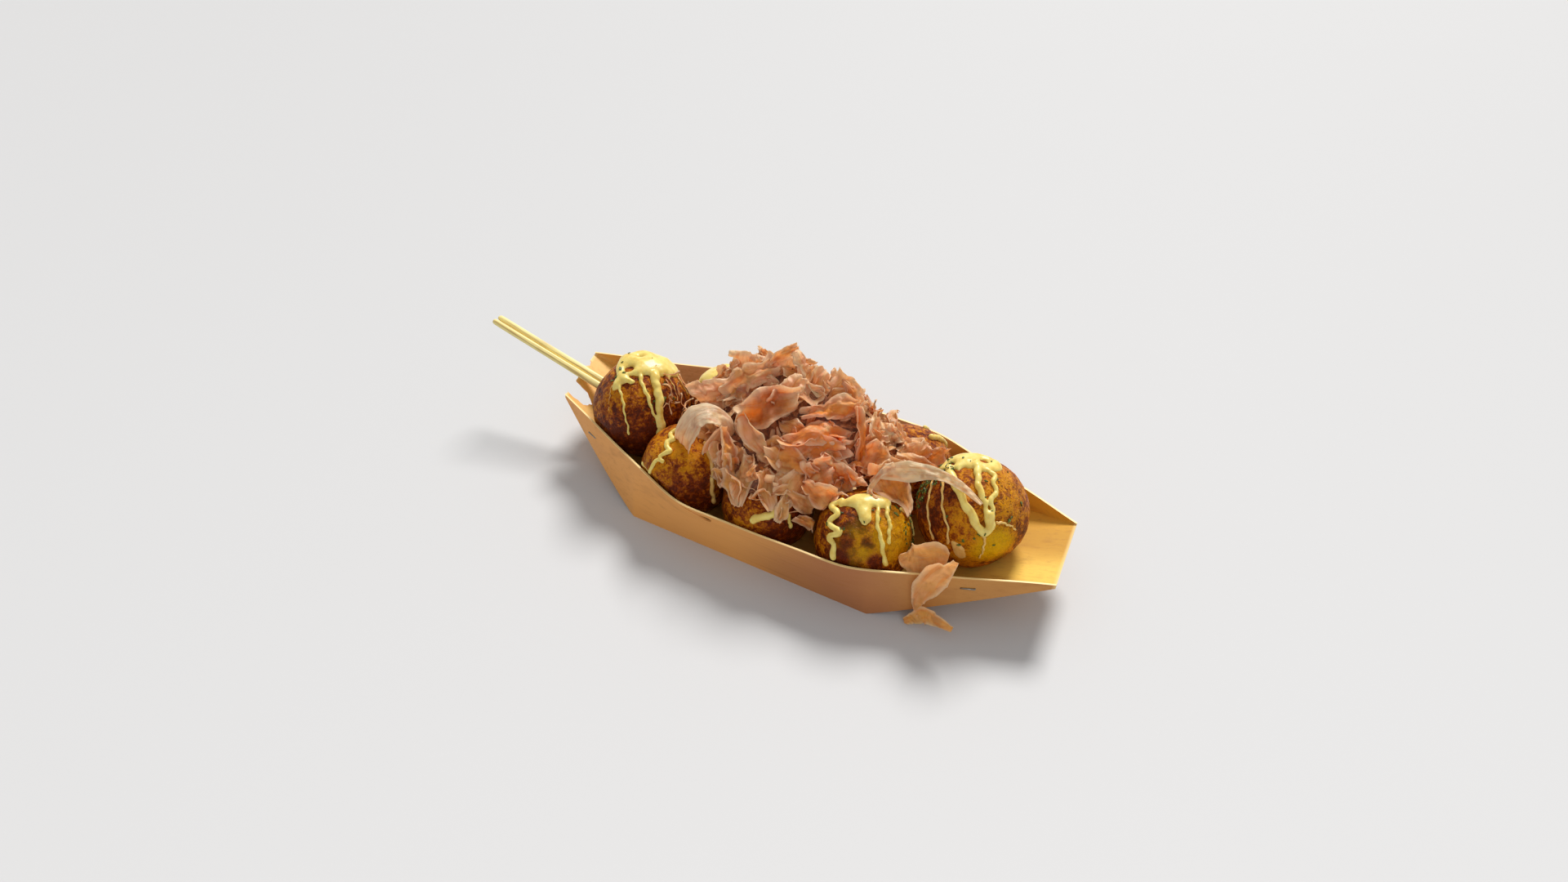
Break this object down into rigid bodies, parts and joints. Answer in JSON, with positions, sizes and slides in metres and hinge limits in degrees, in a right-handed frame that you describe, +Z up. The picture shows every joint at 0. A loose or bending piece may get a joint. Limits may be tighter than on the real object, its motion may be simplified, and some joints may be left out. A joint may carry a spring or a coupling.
{
  "type": "takoyaki in a wooden boat tray",
  "caption": "Boat-shaped tray of folded thin wood holding browned round batter balls with mayonnaise and bonito flakes, with bamboo picks stuck in an end ball.",
  "frame": {"origin": "the middle of the tray's flat floor, on the surface that the tray stands on", "axes": "+Z up out of the open tray, +X along the tray to its lower tip, +Y to the back, away from the side over which a flake hangs"},
  "size_m": [0.2871, 0.0974, 0.0766],
  "materials": {
    "tray_wood": "pale shaved wood, dry, with long grain",
    "crust": "browned batter crust with thin brown sauce and mayonnaise, half glossy",
    "bonito": "thin dry shaved fish, tan pink, slightly see-through",
    "bamboo": "smooth pale bamboo"
  },
  "bodies": {
    "root": {"tray": "tray_wood", "ball_left_end": "crust", "ball_front_left": "crust", "ball_front_middle": "crust", "ball_front_right": "crust", "ball_right_end": "crust", "ball_back_left": "crust", "ball_back_middle": "crust", "ball_back_right": "crust", "pick_1": "bamboo", "pick_2": "bamboo", "flake_over_right_ball": "bonito", "flake_over_rim": "bonito", "flake_inside_rim": "bonito", "bonito_heap": "bonito"}
  },
  "joints": []
}
